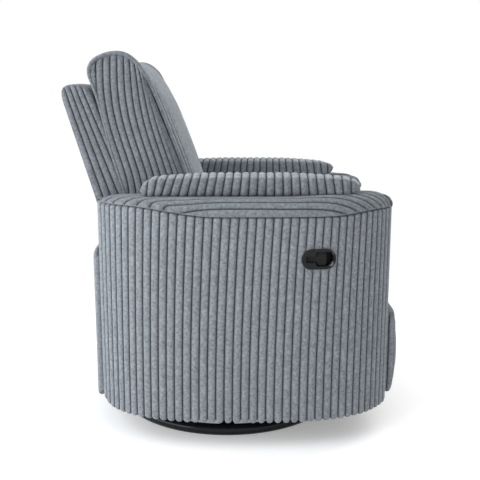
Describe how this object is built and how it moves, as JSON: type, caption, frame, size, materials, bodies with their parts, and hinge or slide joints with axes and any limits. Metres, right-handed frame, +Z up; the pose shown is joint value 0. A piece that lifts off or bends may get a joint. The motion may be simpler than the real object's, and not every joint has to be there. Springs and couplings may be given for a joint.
{
  "type": "glider recliner",
  "caption": "Barrel-shaped swivel glider recliner in grey wide-wale corduroy with a pillow back, padded arms, a side latch and a ring base",
  "frame": {"origin": "on the floor, on the swivel axis", "axes": "+X to the chair's front, +Y to the sitter's left, +Z up"},
  "size_m": [0.8798, 0.7849, 0.9874],
  "materials": {
    "corduroy": "matte",
    "gloss_black": "gloss",
    "black_steel": "satin",
    "zinc_steel": "satin",
    "white_nylon": "matte",
    "frame_wood": "matte",
    "latch_plastic": "matte"
  },
  "bodies": {
    "base": {"base_ring": "gloss_black", "base_cross_bars": "black_steel", "swivel_lower_plate": "zinc_steel", "swivel_slide_ring": "white_nylon", "swivel_king_pin": "zinc_steel", "base_bolts": "zinc_steel"},
    "turntable": {"swivel_upper_plate": "zinc_steel", "glider_side_left": "black_steel", "glider_side_right": "black_steel", "glider_cross_channels": "black_steel", "glide_upper_pins": "zinc_steel"},
    "front_glide_links": {"glide_links_front": "black_steel"},
    "rear_glide_links": {"glide_links_rear": "black_steel"},
    "chassis": {"carriage_hanger_left": "black_steel", "carriage_hanger_right": "black_steel", "glide_lower_pins": "zinc_steel", "runners": "frame_wood", "front_stretcher": "frame_wood", "rear_stretcher": "frame_wood", "arm_frame_left": "frame_wood", "arm_frame_right": "frame_wood", "arm_inner_panel_left": "corduroy", "arm_inner_panel_right": "corduroy", "side_cover_left": "corduroy", "side_cover_right": "corduroy", "arm_top_left": "corduroy", "arm_top_right": "corduroy", "arm_pad_left": "corduroy", "arm_pad_right": "corduroy", "rear_panel": "corduroy", "mechanism_plate_left": "black_steel", "mechanism_plate_right": "black_steel", "back_hinge_ears": "black_steel", "back_hinge_pins": "zinc_steel", "seat_side_rails": "frame_wood", "seat_cross_rails": "frame_wood", "seat_springs": "zinc_steel", "seat_cushion": "corduroy", "seat_apron": "corduroy", "latch_bezel": "latch_plastic", "latch_pin": "zinc_steel"},
    "back": {"back_uprights": "frame_wood", "back_rails": "frame_wood", "back_springs": "zinc_steel", "back_brackets": "black_steel", "back_outside_pad": "corduroy", "back_cushion": "corduroy"},
    "latch": {"latch_lever": "latch_plastic"},
    "footrest_rear_arms": {"footrest_rear_links": "black_steel", "footrest_torque_tube": "black_steel", "footrest_knee_pins": "zinc_steel"},
    "footrest_front_arms": {"footrest_front_links": "black_steel", "footrest_cross_tube": "black_steel"},
    "footrest": {"footrest_brackets": "black_steel", "footrest_board": "frame_wood", "footrest_pad": "corduroy"}
  },
  "joints": [
    {"name": "swivel", "type": "hinge", "parent": "base", "child": "turntable", "pos_m": [0, 0, 0], "axis": [0, 0, 1], "continuous": true},
    {"name": "glide", "type": "hinge", "parent": "turntable", "child": "front_glide_links", "pos_m": [0.15, 0, 0.19], "axis": [0, -1, 0], "range_deg": [-18, 18]},
    {"name": "glide_level", "type": "hinge", "parent": "front_glide_links", "child": "chassis", "pos_m": [0.15, 0, 0.07], "axis": [0, -1, 0], "range_deg": [-18, 18]},
    {"name": "glide_rear", "type": "hinge", "parent": "turntable", "child": "rear_glide_links", "pos_m": [-0.15, 0, 0.19], "axis": [0, -1, 0], "range_deg": [-18, 18]},
    {"name": "recline", "type": "hinge", "parent": "chassis", "child": "back", "pos_m": [-0.14, 0, 0.54], "axis": [0, -1, 0], "range_deg": [0, 30]},
    {"name": "footrest_lift", "type": "hinge", "parent": "chassis", "child": "footrest_rear_arms", "pos_m": [0.302, 0, 0.258], "axis": [0, -1, 0], "range_deg": [0, 55]},
    {"name": "footrest_knee", "type": "hinge", "parent": "footrest_rear_arms", "child": "footrest_front_arms", "pos_m": [0.395, 0, 0.08094], "axis": [0, -1, 0], "range_deg": [-110, 0]},
    {"name": "footrest_tip", "type": "hinge", "parent": "footrest_front_arms", "child": "footrest", "pos_m": [0.387, 0, 0.28078], "axis": [0, -1, 0], "range_deg": [0, 137.5]},
    {"name": "latch_pull", "type": "hinge", "parent": "chassis", "child": "latch", "pos_m": [0.19935, -0.38045, 0.49], "axis": [0, 0, -1], "range_deg": [0, 25], "stiffness_Nm_per_rad": 0.4}
  ],
  "couplings": [
    {"joint": "glide_level", "follows": "glide", "ratio": -1},
    {"joint": "glide_rear", "follows": "glide", "ratio": 1},
    {"joint": "footrest_knee", "follows": "footrest_lift", "ratio": -2},
    {"joint": "footrest_tip", "follows": "footrest_lift", "ratio": 2.5}
  ]
}
